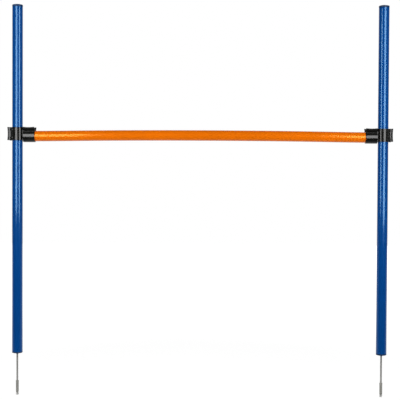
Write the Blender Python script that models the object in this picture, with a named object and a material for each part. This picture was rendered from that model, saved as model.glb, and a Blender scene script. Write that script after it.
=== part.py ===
"""Dog agility hurdle: two spiked posts, a crossbar and two sliding clips.

Units are metres and +Z is up.  X runs along the crossbar and Y is the way a dog jumps.
The origin lies on the ground line between the posts, level with the ends of the tip guards.
"""

import math

import bmesh
import bpy
from mathutils import Matrix, Vector

# Fits between pieces
FIT_GAP = 0.0003                 # gap left between pieces that touch
SLIDE_CLEARANCE = 0.0003         # radial play of a clip ring on a tube
END_PLAY = 0.0005                # play between the bar's end and a clip's end wall

# Tube stock of the posts and the bar
TUBE_DIAMETER = 0.033
TUBE_WALL = 0.0018
TUBE_EDGE = 0.0004               # small chamfer on each cut edge

# Posts
POST_SPACING = 1.150             # between the posts' axes
POST_TUBE_LENGTH = 1.086

# Push-in caps, foot plugs and bar plugs
CAP_RIM = 0.0055                 # straight side of a cap's head
CAP_DOME = 0.0029                # rise of the dome above that side
CAP_SKIRT_LENGTH = 0.022
SKIRT_WALL = 0.0016
SKIRT_RIB_HEIGHT = 0.0005
SKIRT_RIB_WIDTH = 0.0014
SKIRT_RIB_COUNT = 2
FOOT_FLANGE = 0.0040
FOOT_FLANGE_ROUND = 0.0018
FOOT_SKIRT_LENGTH = 0.030
FOOT_BOSS_DIAMETER = 0.0125      # cone round the spike, at the flange
FOOT_BOSS_NOSE = 0.0088          # the same cone at its lower end
FOOT_BOSS_HEIGHT = 0.0030
FOOT_HUB_WALL = 0.0026
FOOT_HUB_ROOF = 0.0030           # material over the spike's upper end
FOOT_WEB_THICKNESS = 0.0018
FOOT_WEB_COUNT = 4
BAR_PLUG_HEAD = 0.0022
BAR_PLUG_SKIRT_LENGTH = 0.020

# Ground spikes and their guards
SPIKE_DIAMETER = 0.006
SPIKE_REACH = 0.131              # from the foot's flat underside to the point
SPIKE_POINT_LENGTH = 0.009
SPIKE_POINT_FLAT = 0.0006        # radius of the blunted point
SPIKE_SEAT = 0.040               # length held above the foot's underside
SPIKE_EDGE = 0.0005
GUARD_WALL = 0.0014
GUARD_LENGTH = 0.046
GUARD_END_WALL = 0.0020
GUARD_END_ROUND = 0.0014
GUARD_END_GAP = 0.0010           # between the spike's point and the end wall

# Crossbar
BAR_HEIGHT = 0.685               # bar axis above the foot's underside
BAR_BOW = 0.0040                 # upward set of the bar at mid-span
BAR_BOW_END_POWER = 6            # how sharply the bow dies out at the clips

# Clips
CLIP_WALL = 0.0026
CLIP_EDGE = 0.0007               # bevel of the rings' rims
POST_RING_HEIGHT = 0.041
POST_RING_RISE = 0.0066          # centre of the post ring above the bar axis
BAR_RING_LENGTH = 0.037
RING_SLOT = 0.0210               # narrowest width of a ring's slot
LIP_REACH = 0.0283               # from the tube's axis to the end of a lip
LIP_BEND_RADIUS = 0.0018         # bend between ring and lip, at mid-wall
LIP_ENTRY = math.radians(20.0)   # angle of a lip's straight part to the slot's middle plane
LIP_CURL = math.radians(46.0)    # the same angle at the lip's free edge
LIP_CURL_RADIUS = 0.0230
LIP_HOLLOW = 0.0012              # how far a lip's free edge is hollowed at its middle
END_WALL = 0.0026                # wall that stops the bar's end
NECK_WIDTH = 0.017
NECK_MARGIN = 0.0012             # neck kept inside the post ring's ends by this much
GUSSET_THICKNESS = 0.0024
GUSSET_INSET = 0.0085            # centre of a gusset from the post ring's end
GUSSET_FOOT_ANGLE = math.radians(72.0)
GUSSET_EDGE_INSET = 0.0006       # gusset's free edge below the ring's outer side
GUSSET_TIP_INSET = 0.0016        # gusset's end short of the lip's free edge

# Facets
TUBE_SEGMENTS = 32
SPIKE_SEGMENTS = 20
BAR_STATIONS = 12
RING_ARC_STEPS = 22
BEND_STEPS = 4
CURL_STEPS = 3
TIP_STEPS = 4
LIP_STATIONS = 4
DOME_STEPS = 3
ROUND_STEPS = 2

# Sizes that follow from the ones above
TUBE_RADIUS = TUBE_DIAMETER / 2
TUBE_BORE_RADIUS = TUBE_RADIUS - TUBE_WALL
SPIKE_RADIUS = SPIKE_DIAMETER / 2
GUARD_BORE_RADIUS = SPIKE_RADIUS + FIT_GAP
GUARD_RADIUS = GUARD_BORE_RADIUS + GUARD_WALL
RING_BORE_RADIUS = TUBE_RADIUS + SLIDE_CLEARANCE
RING_RADIUS = RING_BORE_RADIUS + CLIP_WALL
SPIKE_POINT_Z = GUARD_END_WALL + GUARD_END_GAP
GROUND_Z = SPIKE_POINT_Z + SPIKE_REACH
POST_TUBE_Z = GROUND_Z + FOOT_FLANGE + FIT_GAP
POST_TUBE_TOP_Z = POST_TUBE_Z + POST_TUBE_LENGTH
CAP_Z = POST_TUBE_TOP_Z + FIT_GAP
BAR_Z = GROUND_Z + BAR_HEIGHT
BAR_RING_START = RING_RADIUS     # from the post's axis, where the bar ring begins
BAR_RING_END = BAR_RING_START + BAR_RING_LENGTH
BAR_HALF_LENGTH = POST_SPACING / 2 - BAR_RING_START - END_WALL - END_PLAY
BAR_TUBE_HALF_LENGTH = BAR_HALF_LENGTH - BAR_PLUG_HEAD - FIT_GAP
BAR_FREE_HALF_LENGTH = POST_SPACING / 2 - BAR_RING_END


def clear_scene():
    """Remove every object that the file opened with."""
    for obj in list(bpy.data.objects):
        bpy.data.objects.remove(obj, do_unlink=True)


def plastic(name, colour, roughness, metallic=0.0, alpha=1.0):
    """Make a Principled material from a linear colour."""
    material = bpy.data.materials.new(name)
    material.use_nodes = True
    shader = material.node_tree.nodes["Principled BSDF"]
    shader.inputs["Base Color"].default_value = (*colour, 1.0)
    shader.inputs["Roughness"].default_value = roughness
    shader.inputs["Metallic"].default_value = metallic
    shader.inputs["Alpha"].default_value = alpha
    material.diffuse_color = (*colour, alpha)
    return material


def add_object(name, mesh, material, location=(0.0, 0.0, 0.0), turn_z=0.0, parent=None):
    """Place a mesh as a named object with its own material."""
    obj = bpy.data.objects.new(name, mesh)
    bpy.context.scene.collection.objects.link(obj)
    if not mesh.materials:
        mesh.materials.append(None)
    slot = obj.material_slots[0]
    slot.link = "OBJECT"
    slot.material = material
    obj.parent = parent
    obj.location = location
    obj.rotation_euler = (0.0, 0.0, turn_z)
    return obj


def add_empty(name, location):
    """Place an empty that carries the pieces of one post."""
    empty = bpy.data.objects.new(name, None)
    empty.empty_display_size = 0.05
    empty.location = location
    bpy.context.scene.collection.objects.link(empty)
    return empty


def finish_mesh(bm, name, smooth_angle=math.radians(32.0)):
    """Weld, turn the faces outwards and shade the round surfaces smooth."""
    bmesh.ops.remove_doubles(bm, verts=bm.verts, dist=1e-7)
    bmesh.ops.recalc_face_normals(bm, faces=bm.faces)
    mesh = bpy.data.meshes.new(name)
    bm.to_mesh(mesh)
    bm.free()
    mesh.shade_smooth()
    mesh.set_sharp_from_angle(angle=smooth_angle)
    return mesh


def arc(centre, radius, start, end, steps):
    """Points (a, b) on a circle's arc from one angle to another, both ends included."""
    points = []
    for step in range(steps + 1):
        angle = start + (end - start) * step / steps
        points.append((centre[0] + radius * math.cos(angle), centre[1] + radius * math.sin(angle)))
    return points


def turn_profile(profile, segments, closed):
    """Spin a profile of (radius, height) points about Z into a closed surface."""
    bm = bmesh.new()
    verts = [bm.verts.new((radius, 0.0, height)) for radius, height in profile]
    edges = [bm.edges.new(pair) for pair in zip(verts, verts[1:])]
    if closed:
        edges.append(bm.edges.new((verts[-1], verts[0])))
    bmesh.ops.spin(
        bm,
        geom=verts + edges,
        cent=(0.0, 0.0, 0.0),
        axis=(0.0, 0.0, 1.0),
        angle=2 * math.pi,
        steps=segments,
        use_merge=True,
    )
    bmesh.ops.remove_doubles(bm, verts=bm.verts, dist=1e-7)
    return bm


def apply_boolean(target, tool, operation):
    """Join or cut one object with another and drop the second."""
    modifier = target.modifiers.new(operation.lower(), "BOOLEAN")
    modifier.operation = operation
    modifier.solver = "EXACT"
    modifier.object = tool
    graph = bpy.context.evaluated_depsgraph_get()
    mesh = bpy.data.meshes.new_from_object(target.evaluated_get(graph))
    target.modifiers.remove(modifier)
    target.data = mesh
    bpy.data.objects.remove(tool, do_unlink=True)


def working_object(name, bm):
    """Give a bmesh a plain object so that modifiers can work on it."""
    obj = bpy.data.objects.new(name, finish_mesh(bm, name))
    bpy.context.scene.collection.objects.link(obj)
    return obj


def tube_profile(half_length):
    """Wall section of a cut tube with small chamfers, about the tube's middle."""
    outer = TUBE_RADIUS
    inner = TUBE_BORE_RADIUS
    edge = TUBE_EDGE
    return [
        (inner, -half_length + edge),
        (inner + edge, -half_length),
        (outer - edge, -half_length),
        (outer, -half_length + edge),
        (outer, half_length - edge),
        (outer - edge, half_length),
        (inner + edge, half_length),
        (inner, half_length - edge),
    ]


def skirt_profile(start, length, inner_radius):
    """Outer side of a ribbed skirt and its open end, going up from start."""
    rib_radius = TUBE_BORE_RADIUS - FIT_GAP
    root_radius = rib_radius - SKIRT_RIB_HEIGHT
    pitch = length / (SKIRT_RIB_COUNT + 1)
    points = [(root_radius, start)]
    for rib in range(1, SKIRT_RIB_COUNT + 1):
        middle = start + rib * pitch
        points += [
            (root_radius, middle - SKIRT_RIB_WIDTH),
            (rib_radius, middle),
            (root_radius, middle + SKIRT_RIB_WIDTH),
        ]
    points += [
        (root_radius, start + length - TUBE_EDGE),
        (root_radius - TUBE_EDGE, start + length),
        (inner_radius, start + length),
    ]
    return points


def skirt_bore_radius():
    """Radius of the hollow inside a plug's skirt."""
    return TUBE_BORE_RADIUS - FIT_GAP - SKIRT_RIB_HEIGHT - SKIRT_WALL


def post_tube_mesh():
    """Post tube, standing on its lower end."""
    bm = turn_profile(tube_profile(POST_TUBE_LENGTH / 2), TUBE_SEGMENTS, closed=True)
    bmesh.ops.translate(bm, verts=bm.verts, vec=(0.0, 0.0, POST_TUBE_LENGTH / 2))
    return finish_mesh(bm, "post_tube")


def top_cap_mesh():
    """Domed cap whose seat is at height zero and whose hollow skirt hangs below it."""
    dome_radius = (TUBE_RADIUS**2 + CAP_DOME**2) / (2 * CAP_DOME)
    half_angle = math.asin(TUBE_RADIUS / dome_radius)
    crown = CAP_RIM + CAP_DOME
    dome = []
    for step in range(DOME_STEPS + 1):
        angle = half_angle * step / DOME_STEPS
        dome.append((dome_radius * math.sin(angle), crown - dome_radius * (1 - math.cos(angle))))
    bore = skirt_bore_radius()
    skirt = [(radius, -height) for radius, height in skirt_profile(0.0, CAP_SKIRT_LENGTH, bore)]
    inside = [(bore, CAP_RIM - SKIRT_WALL), (0.0, CAP_RIM - SKIRT_WALL)]
    rim_round = TUBE_EDGE
    side = [(TUBE_RADIUS, CAP_RIM - rim_round), (TUBE_RADIUS, 0.0)]
    profile = dome[:-1] + [(TUBE_RADIUS - rim_round, CAP_RIM)] + side + skirt + inside
    return finish_mesh(turn_profile(profile, TUBE_SEGMENTS, closed=False), "top_cap")


def bar_plug_mesh():
    """Flat-headed plug whose skirt points along +Z from a seat at height zero."""
    edge = TUBE_EDGE
    head = [
        (0.0, -BAR_PLUG_HEAD),
        (TUBE_RADIUS - edge, -BAR_PLUG_HEAD),
        (TUBE_RADIUS, -BAR_PLUG_HEAD + edge),
        (TUBE_RADIUS, 0.0),
    ]
    skirt = skirt_profile(0.0, BAR_PLUG_SKIRT_LENGTH, skirt_bore_radius())
    inside = [(skirt_bore_radius(), 0.0), (0.0, 0.0)]
    return finish_mesh(turn_profile(head + skirt + inside, TUBE_SEGMENTS, closed=False), "bar_plug")


def foot_plug_mesh():
    """Foot plug about its flat underside: flange, boss, ribbed skirt, and a webbed hub for the spike."""
    bore = SPIKE_RADIUS + FIT_GAP
    hub_radius = bore + FOOT_HUB_WALL
    hub_top = SPIKE_SEAT + FIT_GAP + FOOT_HUB_ROOF
    flange_round = arc(
        (TUBE_RADIUS - FOOT_FLANGE_ROUND, FOOT_FLANGE_ROUND),
        FOOT_FLANGE_ROUND,
        -math.pi / 2,
        0.0,
        ROUND_STEPS,
    )
    profile = [(0.0, SPIKE_SEAT + FIT_GAP), (bore, SPIKE_SEAT + FIT_GAP), (bore, -FOOT_BOSS_HEIGHT)]
    profile += [(FOOT_BOSS_NOSE / 2, -FOOT_BOSS_HEIGHT), (FOOT_BOSS_DIAMETER / 2, 0.0)]
    profile += flange_round
    profile += [(TUBE_RADIUS, FOOT_FLANGE)]
    profile += skirt_profile(FOOT_FLANGE, FOOT_SKIRT_LENGTH, skirt_bore_radius())
    profile += [(skirt_bore_radius(), FOOT_FLANGE), (hub_radius, FOOT_FLANGE)]
    profile += [(hub_radius, hub_top - TUBE_EDGE), (hub_radius - TUBE_EDGE, hub_top), (0.0, hub_top)]
    body = working_object("foot_plug", turn_profile(profile, TUBE_SEGMENTS, closed=False))
    web_inner = bore + FOOT_HUB_WALL / 2
    web_outer = skirt_bore_radius() + SKIRT_WALL / 2
    web_bottom = FOOT_FLANGE / 2
    web_top = FOOT_FLANGE + FOOT_SKIRT_LENGTH - SKIRT_WALL
    for index in range(FOOT_WEB_COUNT):
        bm = bmesh.new()
        bmesh.ops.create_cube(bm, size=1.0)
        size = (web_outer - web_inner, FOOT_WEB_THICKNESS, web_top - web_bottom)
        bmesh.ops.scale(bm, verts=bm.verts, vec=size)
        centre = ((web_outer + web_inner) / 2, 0.0, (web_top + web_bottom) / 2)
        bmesh.ops.translate(bm, verts=bm.verts, vec=centre)
        turn = Matrix.Rotation(2 * math.pi * index / FOOT_WEB_COUNT, 3, "Z")
        bmesh.ops.rotate(bm, verts=bm.verts, cent=(0.0, 0.0, 0.0), matrix=turn)
        apply_boolean(body, working_object("web", bm), "UNION")
    return take_mesh(body)


def take_mesh(obj):
    """Take the mesh off a working object and drop the object."""
    mesh = obj.data
    bpy.data.objects.remove(obj, do_unlink=True)
    mesh.materials.clear()
    mesh.shade_smooth()
    mesh.set_sharp_from_angle(angle=math.radians(32.0))
    return mesh


def ground_spike_mesh():
    """Steel spike about the foot's underside, pointed below and chamfered above."""
    profile = [
        (0.0, -SPIKE_REACH),
        (SPIKE_POINT_FLAT, -SPIKE_REACH),
        (SPIKE_RADIUS, -SPIKE_REACH + SPIKE_POINT_LENGTH),
        (SPIKE_RADIUS, SPIKE_SEAT - SPIKE_EDGE),
        (SPIKE_RADIUS - SPIKE_EDGE, SPIKE_SEAT),
        (0.0, SPIKE_SEAT),
    ]
    return finish_mesh(turn_profile(profile, SPIKE_SEGMENTS, closed=False), "ground_spike")


def tip_guard_mesh():
    """Closed-ended sleeve standing on its round end at height zero."""
    end_centre = (GUARD_RADIUS - GUARD_END_ROUND, GUARD_END_ROUND)
    end_round = arc(end_centre, GUARD_END_ROUND, -math.pi / 2, 0.0, ROUND_STEPS)
    lead_in = GUARD_WALL / 3
    profile = [(0.0, 0.0)] + end_round
    profile += [
        (GUARD_RADIUS, GUARD_LENGTH - lead_in),
        (GUARD_RADIUS - lead_in, GUARD_LENGTH),
        (GUARD_BORE_RADIUS + lead_in, GUARD_LENGTH),
        (GUARD_BORE_RADIUS, GUARD_LENGTH - lead_in),
        (GUARD_BORE_RADIUS, GUARD_END_WALL),
        (0.0, GUARD_END_WALL),
    ]
    return finish_mesh(turn_profile(profile, SPIKE_SEGMENTS, closed=False), "tip_guard")


def bow_height(x):
    """Rise of the bar's axis at a place along it; it dies out where the clips begin."""
    share = min(abs(x) / BAR_FREE_HALF_LENGTH, 1.0)
    return BAR_BOW * (1 - share**2) * (1 - share**BAR_BOW_END_POWER)


def bar_tube_mesh():
    """Crossbar tube along X, with its upward bow."""
    outer_side = []
    inner_side = []
    for station in range(1, BAR_STATIONS):
        along = -BAR_FREE_HALF_LENGTH * math.cos(math.pi * station / BAR_STATIONS)
        outer_side.append((TUBE_RADIUS, along))
        inner_side.append((TUBE_BORE_RADIUS, along))
    cut = tube_profile(BAR_TUBE_HALF_LENGTH)
    clip_face = [(TUBE_RADIUS, BAR_FREE_HALF_LENGTH), (TUBE_BORE_RADIUS, BAR_FREE_HALF_LENGTH)]
    profile = cut[:4] + [(TUBE_RADIUS, -BAR_FREE_HALF_LENGTH)] + outer_side + clip_face[:1]
    profile += cut[4:] + clip_face[1:] + inner_side[::-1] + [(TUBE_BORE_RADIUS, -BAR_FREE_HALF_LENGTH)]
    bm = turn_profile(profile, TUBE_SEGMENTS, closed=True)
    onto_x = Matrix.Rotation(math.pi / 2, 3, "Y")
    bmesh.ops.rotate(bm, verts=bm.verts, cent=(0.0, 0.0, 0.0), matrix=onto_x)
    for vert in bm.verts:
        vert.co.z += bow_height(vert.co.x)
    return finish_mesh(bm, "bar_tube")


def lip_line(reach):
    """Mid-wall line of one lip, from its bend off the ring to its free edge.

    Points are (u, v): u runs out through the slot and v across it.
    """
    centre_radius = RING_BORE_RADIUS + CLIP_WALL / 2 + LIP_BEND_RADIUS
    opening = slot_angle()
    centre = (centre_radius * math.cos(opening), centre_radius * math.sin(opening))
    bend = arc(centre, LIP_BEND_RADIUS, math.pi + opening, 1.5 * math.pi + LIP_ENTRY, BEND_STEPS)
    curl_reach = LIP_CURL_RADIUS * (math.sin(LIP_CURL) - math.sin(LIP_ENTRY))
    straight = reach - CLIP_WALL / 2 - curl_reach - bend[-1][0]
    curl_u = bend[-1][0] + straight - LIP_CURL_RADIUS * math.sin(LIP_ENTRY)
    curl_v = bend[-1][1] + straight * math.tan(LIP_ENTRY) + LIP_CURL_RADIUS * math.cos(LIP_ENTRY)
    curl_start = LIP_ENTRY - math.pi / 2
    curl_end = LIP_CURL - math.pi / 2
    return bend + arc((curl_u, curl_v), LIP_CURL_RADIUS, curl_start, curl_end, CURL_STEPS)


def slot_angle():
    """Angle from the slot's middle plane to where the ring's arc turns into a lip."""
    half_way = RING_SLOT / 2 + CLIP_WALL / 2 + LIP_BEND_RADIUS
    return math.asin(half_way / (RING_BORE_RADIUS + CLIP_WALL / 2 + LIP_BEND_RADIUS))


def ring_centreline(reach):
    """Mid-wall line of a slotted ring with flared lips, from one lip's edge to the other's."""
    mid_radius = RING_BORE_RADIUS + CLIP_WALL / 2
    ring = arc((0.0, 0.0), mid_radius, slot_angle(), 2 * math.pi - slot_angle(), RING_ARC_STEPS)
    upper = lip_line(reach)[:0:-1]
    lower = [(u, -v) for u, v in reversed(upper)]
    return upper + ring + lower


def wall_outline(line, half_wall):
    """Closed outline at a given half thickness round an open line, with round ends."""
    points = [Vector(point) for point in line]
    left = []
    right = []
    for index, point in enumerate(points):
        before = points[max(index - 1, 0)]
        after = points[min(index + 1, len(points) - 1)]
        along = (after - before).normalized()
        across = Vector((-along.y, along.x))
        left.append(point + across * half_wall)
        right.append(point - across * half_wall)
    start_end = end_cap(points[0], (points[0] - points[1]).normalized(), half_wall)
    far_end = end_cap(points[-1], (points[-1] - points[-2]).normalized(), half_wall)
    return left, right, start_end, far_end


def end_cap(centre, along, half_wall):
    """Half circle round a wall's free end, without its two side points."""
    first = math.atan2(along.y, along.x) - math.pi / 2
    points = arc(centre, half_wall, first, first + math.pi, TIP_STEPS)
    return [Vector(point) for point in points[1:-1]]


def rim_stations(length):
    """Places along a ring, each with the wall's loss there, which bevels both rims."""
    inner = length - 2 * CLIP_EDGE
    middle = [(CLIP_EDGE + inner * step / LIP_STATIONS, 0.0) for step in range(LIP_STATIONS + 1)]
    return [(0.0, CLIP_EDGE)] + middle + [(length, CLIP_EDGE)]


def slotted_ring(length):
    """Slotted ring with flared lips as a bmesh: axis Z from zero to length, slot towards +X."""
    bm = bmesh.new()
    layers = []
    for place, loss in rim_stations(length):
        share = 2 * place / length - 1
        reach = LIP_REACH - LIP_HOLLOW * (1 - share**2)
        left, right, start_end, far_end = wall_outline(ring_centreline(reach), CLIP_WALL / 2 - loss)
        loop = left + far_end[::-1] + right[::-1] + start_end[::-1]
        layers.append([bm.verts.new((point.x, point.y, place)) for point in loop])
    count = len(layers[0])
    for below, above in zip(layers, layers[1:]):
        for index in range(count):
            after = (index + 1) % count
            bm.faces.new((below[index], below[after], above[after], above[index]))
    wall_points = len(left)
    for layer in (layers[0], layers[-1]):
        close_wall_end(bm, layer, wall_points)
    return bm


def close_wall_end(bm, layer, wall_points):
    """Fill a wall outline's end with quads across the wall and a fan at each lip."""
    left = layer[:wall_points]
    far_end = layer[wall_points:wall_points + TIP_STEPS - 1]
    right = layer[wall_points + TIP_STEPS - 1:2 * wall_points + TIP_STEPS - 1][::-1]
    start_end = layer[2 * wall_points + TIP_STEPS - 1:]
    for index in range(wall_points - 1):
        bm.faces.new((left[index], left[index + 1], right[index + 1], right[index]))
    bm.faces.new([left[-1]] + far_end + [right[-1]])
    bm.faces.new([right[0]] + start_end + [left[0]])


def prism(outline, bottom, top):
    """Closed outline in X and Y, drawn up from one height to another."""
    bm = bmesh.new()
    face = bm.faces.new([bm.verts.new((x, y, bottom)) for x, y in outline])
    drawn = bmesh.ops.extrude_face_region(bm, geom=[face])
    moved = [item for item in drawn["geom"] if isinstance(item, bmesh.types.BMVert)]
    bmesh.ops.translate(bm, verts=moved, vec=(0.0, 0.0, top - bottom))
    return bm


def gusset_outline():
    """Web in the valley between the post ring and one lip, in the ring's (u, v) plane."""
    mid_radius = RING_BORE_RADIUS + CLIP_WALL / 2
    foot_radius = RING_RADIUS - GUSSET_EDGE_INSET
    foot = (foot_radius * math.cos(GUSSET_FOOT_ANGLE), foot_radius * math.sin(GUSSET_FOOT_ANGLE))
    under_ring = arc((0.0, 0.0), mid_radius, GUSSET_FOOT_ANGLE, slot_angle(), BEND_STEPS)
    lip = lip_line(LIP_REACH - LIP_HOLLOW)
    before, edge = Vector(lip[-2]), Vector(lip[-1])
    back = edge - (edge - before).normalized() * GUSSET_TIP_INSET
    return [foot] + under_ring + lip[1:-1] + [(back.x, back.y), (back.x, foot[1])]


def clip_mesh():
    """One moulded clip about the post's axis and the bar's height, with the bar towards +X."""
    ring_bottom = POST_RING_RISE - POST_RING_HEIGHT / 2
    ring_top = POST_RING_RISE + POST_RING_HEIGHT / 2
    post_ring = slotted_ring(POST_RING_HEIGHT)
    half_turn = Matrix.Rotation(math.pi, 3, "Z")
    bmesh.ops.rotate(post_ring, verts=post_ring.verts, cent=(0.0, 0.0, 0.0), matrix=half_turn)
    bmesh.ops.translate(post_ring, verts=post_ring.verts, vec=(0.0, 0.0, ring_bottom))
    body = working_object("clip", post_ring)

    for side in (-1, 1):
        for level in (ring_bottom + GUSSET_INSET, ring_top - GUSSET_INSET):
            outline = [(-u, side * v) for u, v in gusset_outline()]
            web = prism(outline, level - GUSSET_THICKNESS / 2, level + GUSSET_THICKNESS / 2)
            apply_boolean(body, working_object("gusset", web), "UNION")

    mid_radius = RING_BORE_RADIUS + CLIP_WALL / 2
    neck_angle = math.asin(NECK_WIDTH / 2 / mid_radius)
    neck_outline = arc((0.0, 0.0), mid_radius, neck_angle, -neck_angle, BEND_STEPS)
    neck_end = BAR_RING_START + END_WALL / 2
    neck_outline += [(neck_end, -NECK_WIDTH / 2), (neck_end, NECK_WIDTH / 2)]
    neck = prism(neck_outline, ring_bottom + NECK_MARGIN, RING_RADIUS - NECK_MARGIN)
    apply_boolean(body, working_object("neck", neck), "UNION")

    along_bar = Matrix(((0.0, 0.0, 1.0), (0.0, 1.0, 0.0), (1.0, 0.0, 0.0)))
    bar_ring = slotted_ring(BAR_RING_LENGTH)
    bmesh.ops.transform(bar_ring, verts=bar_ring.verts, matrix=along_bar.to_4x4())
    bmesh.ops.translate(bar_ring, verts=bar_ring.verts, vec=(BAR_RING_START, 0.0, 0.0))
    apply_boolean(body, working_object("bar_ring", bar_ring), "UNION")

    wall_radius = RING_BORE_RADIUS + CLIP_WALL / 2
    wall_start = BAR_RING_START + CLIP_EDGE / 2
    wall_profile = [
        (0.0, wall_start),
        (wall_radius, wall_start),
        (wall_radius, BAR_RING_START + END_WALL),
        (0.0, BAR_RING_START + END_WALL),
    ]
    end_wall = turn_profile(wall_profile, TUBE_SEGMENTS, closed=False)
    bmesh.ops.transform(end_wall, verts=end_wall.verts, matrix=along_bar.to_4x4())
    apply_boolean(body, working_object("end_wall", end_wall), "UNION")
    return take_mesh(body)


def build():
    """Model every piece of the hurdle and put it in its place."""
    clear_scene()
    blue = (0.006, 0.067, 0.262)
    navy = (0.004, 0.026, 0.095)
    orange = (0.838, 0.168, 0.006)
    black = (0.006, 0.006, 0.005)

    tube_mesh = post_tube_mesh()
    cap_mesh = top_cap_mesh()
    foot_mesh = foot_plug_mesh()
    spike_mesh = ground_spike_mesh()
    guard_mesh = tip_guard_mesh()
    moulding = clip_mesh()
    plug_mesh = bar_plug_mesh()

    for side, x in (("left", -POST_SPACING / 2), ("right", POST_SPACING / 2)):
        inward = 0.0 if x < 0 else math.pi
        post = add_empty(f"{side}_post", (x, 0.0, GROUND_Z))
        add_object(
            f"{side}_post_tube",
            tube_mesh,
            plastic(f"{side}_post_tube", blue, 0.22),
            (0.0, 0.0, POST_TUBE_Z - GROUND_Z),
            parent=post,
        )
        add_object(
            f"{side}_top_cap",
            cap_mesh,
            plastic(f"{side}_top_cap", navy, 0.35),
            (0.0, 0.0, CAP_Z - GROUND_Z),
            parent=post,
        )
        add_object(f"{side}_foot_plug", foot_mesh, plastic(f"{side}_foot_plug", navy, 0.35), parent=post)
        add_object(
            f"{side}_ground_spike",
            spike_mesh,
            plastic(f"{side}_ground_spike", (0.33, 0.33, 0.32), 0.32, metallic=1.0),
            parent=post,
        )
        add_object(
            f"{side}_tip_guard",
            guard_mesh,
            plastic(f"{side}_tip_guard", (0.30, 0.30, 0.29), 0.4),
            (x, 0.0, 0.0),
        )
        add_object(
            f"{side}_clip",
            moulding,
            plastic(f"{side}_clip", black, 0.2),
            (x, 0.0, BAR_Z),
            turn_z=inward,
        )

    bar_material = plastic("bar_tube", orange, 0.25)
    bar = add_object("bar_tube", bar_tube_mesh(), bar_material, (0.0, 0.0, BAR_Z))
    for side, turn in (("left", math.pi / 2), ("right", -math.pi / 2)):
        x = math.copysign(BAR_TUBE_HALF_LENGTH + FIT_GAP, -turn)
        plug = add_object(
            f"{side}_bar_plug",
            plug_mesh,
            plastic(f"{side}_bar_plug", orange, 0.3),
            (x, 0.0, 0.0),
            parent=bar,
        )
        plug.rotation_euler = (0.0, turn, 0.0)


build()
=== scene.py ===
"""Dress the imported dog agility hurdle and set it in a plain, pale studio.

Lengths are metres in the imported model's frame: +Z is up, X runs along the crossbar, and the camera
stands on the -Y side.
"""

from __future__ import annotations

import logging
import math
from collections.abc import Sequence
from dataclasses import dataclass, field
from enum import Enum

import bmesh
import bpy
from mathutils import Matrix, Vector


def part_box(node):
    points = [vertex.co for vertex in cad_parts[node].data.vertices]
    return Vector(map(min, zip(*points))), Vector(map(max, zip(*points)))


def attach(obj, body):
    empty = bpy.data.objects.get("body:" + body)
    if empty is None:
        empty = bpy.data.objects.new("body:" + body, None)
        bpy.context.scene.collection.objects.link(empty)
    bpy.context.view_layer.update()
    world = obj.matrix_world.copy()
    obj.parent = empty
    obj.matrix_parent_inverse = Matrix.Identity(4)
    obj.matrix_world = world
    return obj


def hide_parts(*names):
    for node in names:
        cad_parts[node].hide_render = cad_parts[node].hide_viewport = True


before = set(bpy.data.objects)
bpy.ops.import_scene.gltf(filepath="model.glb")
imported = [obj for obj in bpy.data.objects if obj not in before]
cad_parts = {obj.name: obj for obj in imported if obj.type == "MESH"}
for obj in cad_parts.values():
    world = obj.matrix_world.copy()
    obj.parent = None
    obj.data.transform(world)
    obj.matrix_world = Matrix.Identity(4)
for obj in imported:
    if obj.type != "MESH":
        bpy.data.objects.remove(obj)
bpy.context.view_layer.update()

LOG = logging.getLogger("hurdle")

Triple = tuple[float, float, float]
Colour = Triple
Point = tuple[float, float]
Span = tuple[float, float]
Profile = list[Point]

SMOOTH_ANGLE = math.radians(32.0)  # edges with a sharper turn stay crisp
WELD = 1e-7                        # points of a turned mesh that are closer than this are one
JOINT_WELD = 2e-6                  # the same for solids that were joined
BRACE = 0.0008                     # how far a brace point stands from its line's end
NOISE_MIDDLE = 0.5                 # the value that a noise swings about
FINE_NOISE = (3.0, 0.6)            # octaves of a noise with much fine detail, and their weight


class Scalar:
    """A number in a node tree: Python's operators on it add Math nodes."""

    def __init__(self, tree: NodeTree, socket: bpy.types.NodeSocket) -> None:
        """Wrap a socket that gives a number.

        Args:
            tree: The tree that the socket belongs to.
            socket: An output socket.
        """
        self.tree = tree
        self.socket = socket

    def _join(self, operation: str, first: NodeInput, second: NodeInput) -> Scalar:
        """Add a Math node.

        Args:
            operation: The Math node's operation.
            first: The first operand, a number or a Scalar.
            second: The second operand, a number or a Scalar.

        Returns:
            The node's result.
        """
        node = self.tree.add("Math", {"operation": operation}, {0: first, 1: second})
        return Scalar(self.tree, node.outputs[0])

    def __add__(self, other: float | Scalar) -> Scalar:
        """Sum with a number."""
        return self._join("ADD", self, other)

    __radd__ = __add__

    def __sub__(self, other: float | Scalar) -> Scalar:
        """Difference, self first."""
        return self._join("SUBTRACT", self, other)

    def __rsub__(self, other: float | Scalar) -> Scalar:
        """Difference, the other number first."""
        return self._join("SUBTRACT", other, self)

    def __mul__(self, other: float | Scalar) -> Scalar:
        """Product with a number."""
        return self._join("MULTIPLY", self, other)

    __rmul__ = __mul__

    def __pow__(self, other: float | Scalar) -> Scalar:
        """Power of self."""
        return self._join("POWER", self, other)

    def above(self, other: float | Scalar) -> Scalar:
        """Give the larger of two numbers."""
        return self._join("MAXIMUM", self, other)

    def mixed(self, share: float, other: Scalar) -> Scalar:
        """Mix self, by its share, with another number."""
        return self * share + other * (1 - share)

    def swing(self, reach: float) -> Scalar:
        """Centre a noise on zero and scale it."""
        return (self - NOISE_MIDDLE) * reach

    def rise(self, low: float, high: float) -> Scalar:
        """Go smoothly from 0 to 1 between two values.

        Args:
            low: The value that gives 0.
            high: The value that gives 1.

        Returns:
            The smoothed share.
        """
        settings = {"interpolation_type": "SMOOTHSTEP"}
        inputs = {"Value": self, "From Min": low, "From Max": high}
        return Scalar(self.tree, self.tree.add("MapRange", settings, inputs).outputs["Result"])


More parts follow.
